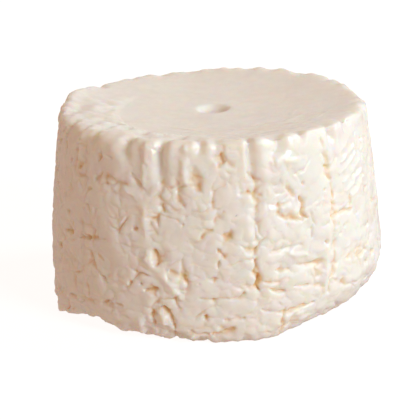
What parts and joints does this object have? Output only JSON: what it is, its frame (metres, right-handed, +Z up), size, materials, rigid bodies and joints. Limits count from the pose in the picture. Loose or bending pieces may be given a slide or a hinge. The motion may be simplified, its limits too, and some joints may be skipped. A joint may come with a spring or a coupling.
{
  "type": "fresh goat cheese",
  "caption": "Soft white cheese drum with a smooth dished top, fluted rim and a creviced, basket-marked wall; stands on its flat base as food on a board or plate.",
  "frame": {"origin": "middle of the flat base that the cheese stands on", "axes": "+Z up along the drum's axis, -Y towards the side shown in the picture, +X to that view's right"},
  "size_m": [0.0801, 0.08, 0.0475],
  "materials": {
    "curd": "soft, slightly moist, warm white"
  },
  "bodies": {
    "root": {"cheese": "curd"}
  },
  "joints": []
}
